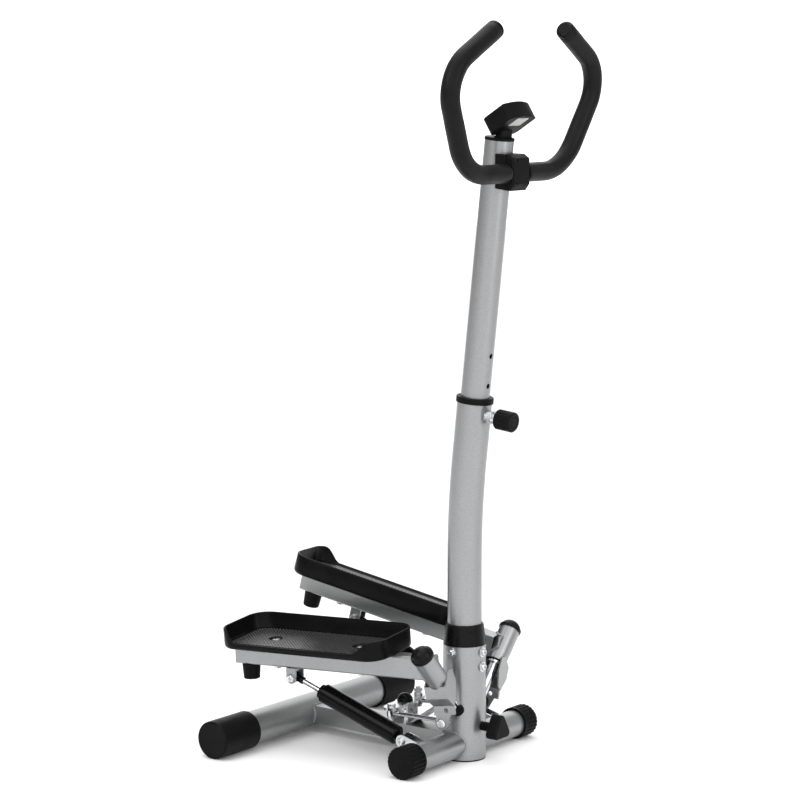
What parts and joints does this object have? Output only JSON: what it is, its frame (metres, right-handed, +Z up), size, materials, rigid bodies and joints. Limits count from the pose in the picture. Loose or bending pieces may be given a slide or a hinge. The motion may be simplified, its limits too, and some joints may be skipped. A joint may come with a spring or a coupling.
{
  "type": "twist stepper",
  "caption": "Twist stepper: two coupled pedals on tilted axles with damper cylinders, cross-tube base, height-adjustable mast, U handlebar with foam grips and a small display.",
  "frame": {"origin": "on the floor, under the middle of the bounding box", "axes": "+Z up; -Y is the mast side the user faces; -X is the user's right"},
  "size_m": [0.554, 0.5569, 1.2791],
  "materials": {
    "silver_paint": "silver metallic powder coat, satin",
    "zinc": "bright zinc plate",
    "bright_steel": "polished",
    "black_plastic": "fine-grained moulded plastic",
    "black_rubber": "moulded rubber",
    "foam": "closed-cell foam",
    "black_enamel": "gloss black enamel",
    "grey_plastic": "light grey plastic",
    "lens": "clear window over a grey display"
  },
  "bodies": {
    "frame": {"rear_cross_tube": "silver_paint", "rear_caps": "black_plastic", "front_tubes": "silver_paint", "front_caps": "black_plastic", "spine_tube": "silver_paint", "post_tube": "silver_paint", "post_foot_plug": "black_plastic", "post_collar": "black_plastic", "lower_mast": "silver_paint", "mast_bushing": "black_plastic", "pin_boss": "zinc", "arm_axles": "bright_steel", "axle_bushes": "black_plastic", "lever_buffers": "black_rubber", "rocker_bracket": "silver_paint", "rocker_stand": "zinc", "cylinder_ears": "zinc", "frame_fasteners": "zinc"},
    "upper_mast_body": {"upper_mast": "silver_paint", "mast_end_cap": "black_plastic", "handlebar_tube": "black_enamel", "foam_grips": "foam", "grip_plugs": "black_rubber", "clamp_rear": "black_plastic", "clamp_front": "black_plastic", "clamp_screws": "zinc", "console_case": "black_plastic", "console_lid": "black_plastic", "battery_door": "grey_plastic", "screen_lens": "lens"},
    "mode_button_body": {"mode_button": "black_plastic"},
    "pull_pin_body": {"pull_pin": "bright_steel", "pull_knob": "black_plastic"},
    "adjuster": {"adjuster_screw": "black_plastic", "adjuster_knob": "black_plastic"},
    "right_arm": {"arm_tube_right": "silver_paint", "pivot_sleeve_right": "silver_paint", "sleeve_cap_right": "black_plastic", "lever_bracket_right": "silver_paint", "arm_foot_right": "black_rubber", "pedal_tray_right": "black_plastic", "arm_fasteners_right": "zinc"},
    "left_arm": {"arm_tube_left": "silver_paint", "pivot_sleeve_left": "silver_paint", "sleeve_cap_left": "black_plastic", "lever_bracket_left": "silver_paint", "arm_foot_left": "black_rubber", "pedal_tray_left": "black_plastic", "arm_fasteners_left": "zinc"},
    "right_cylinder": {"cylinder_barrel_right": "black_enamel"},
    "left_cylinder": {"cylinder_barrel_left": "black_enamel"},
    "right_rod": {"piston_rod_right": "bright_steel", "rod_eye_right": "black_enamel"},
    "left_rod": {"piston_rod_left": "bright_steel", "rod_eye_left": "black_enamel"},
    "rocker": {"rocker_plate": "zinc", "rocker_pins": "zinc", "rocker_cap": "black_plastic"},
    "right_tie": {"tie_rod_right": "bright_steel"},
    "left_tie": {"tie_rod_left": "bright_steel"}
  },
  "joints": [
    {"name": "mast_slide", "type": "slide", "parent": "frame", "child": "upper_mast_body", "axis": [0, -0.1127, 0.9936], "range_m": [-0.104, 0]},
    {"name": "pin_pull", "type": "slide", "parent": "frame", "child": "pull_pin_body", "axis": [0, -0.9936, -0.1127], "range_m": [0, 0.008], "stiffness_N_per_m": 600, "springref_m": -0.004},
    {"name": "adjuster_turn", "type": "hinge", "parent": "frame", "child": "adjuster", "pos_m": [0, -0.1814, 0.0614], "axis": [0, -1, 0], "range_deg": [-180, 180]},
    {"name": "right_arm_swing", "type": "hinge", "parent": "frame", "child": "right_arm", "pos_m": [-0.1279, -0.1267, 0.2015], "axis": [-0.6626, 0, 0.749], "range_deg": [-24.2, 0]},
    {"name": "left_arm_swing", "type": "hinge", "parent": "frame", "child": "left_arm", "pos_m": [0.1279, -0.1267, 0.2015], "axis": [0.6626, 0, 0.749], "range_deg": [-24.2, 0]},
    {"name": "right_cylinder_swing", "type": "hinge", "parent": "frame", "child": "right_cylinder", "pos_m": [-0.113, -0.0764, 0.047], "axis": [-0.5796, -0.0181, 0.8147], "range_deg": [-25.51, 0]},
    {"name": "left_cylinder_swing", "type": "hinge", "parent": "frame", "child": "left_cylinder", "pos_m": [0.113, -0.0764, 0.047], "axis": [0.5796, -0.0181, 0.8147], "range_deg": [-25.51, 0]},
    {"name": "right_rod_slide", "type": "slide", "parent": "right_cylinder", "child": "right_rod", "axis": [-0.0727, 0.937, 0.3418], "range_m": [0, 0.04178]},
    {"name": "left_rod_slide", "type": "slide", "parent": "left_cylinder", "child": "left_rod", "axis": [-0.2486, 0.7853, 0.567], "range_m": [-0.04178, 0]},
    {"name": "rocker_turn", "type": "hinge", "parent": "frame", "child": "rocker", "pos_m": [0, 0.0094, 0.077], "axis": [0, 0, 1], "range_deg": [-16.6, 0]},
    {"name": "right_tie_turn", "type": "hinge", "parent": "rocker", "child": "right_tie", "pos_m": [-0.04948, 0.00218, 0.071], "axis": [0, 0, 1], "range_deg": [0, 17.42]},
    {"name": "left_tie_turn", "type": "hinge", "parent": "rocker", "child": "left_tie", "pos_m": [0.04948, 0.01662, 0.071], "axis": [0, 0, 1], "range_deg": [0, 17.42]},
    {"name": "mode_press", "type": "slide", "parent": "upper_mast_body", "child": "mode_button_body", "axis": [0, 0.5299, 0.848], "range_m": [-0.0008, 0], "stiffness_N_per_m": 400, "springref_m": 0.0005}
  ],
  "couplings": [
    {"joint": "left_arm_swing", "follows": "right_arm_swing", "ratio": 1},
    {"joint": "right_cylinder_swing", "follows": "right_arm_swing", "ratio": 1.054},
    {"joint": "left_cylinder_swing", "follows": "right_arm_swing", "ratio": 1.054},
    {"joint": "right_rod_slide", "follows": "right_arm_swing", "m_per_rad": -0.09892},
    {"joint": "left_rod_slide", "follows": "right_arm_swing", "m_per_rad": 0.09892},
    {"joint": "rocker_turn", "follows": "right_arm_swing", "ratio": 0.686},
    {"joint": "right_tie_turn", "follows": "right_arm_swing", "ratio": -0.72},
    {"joint": "left_tie_turn", "follows": "right_arm_swing", "ratio": -0.72}
  ]
}
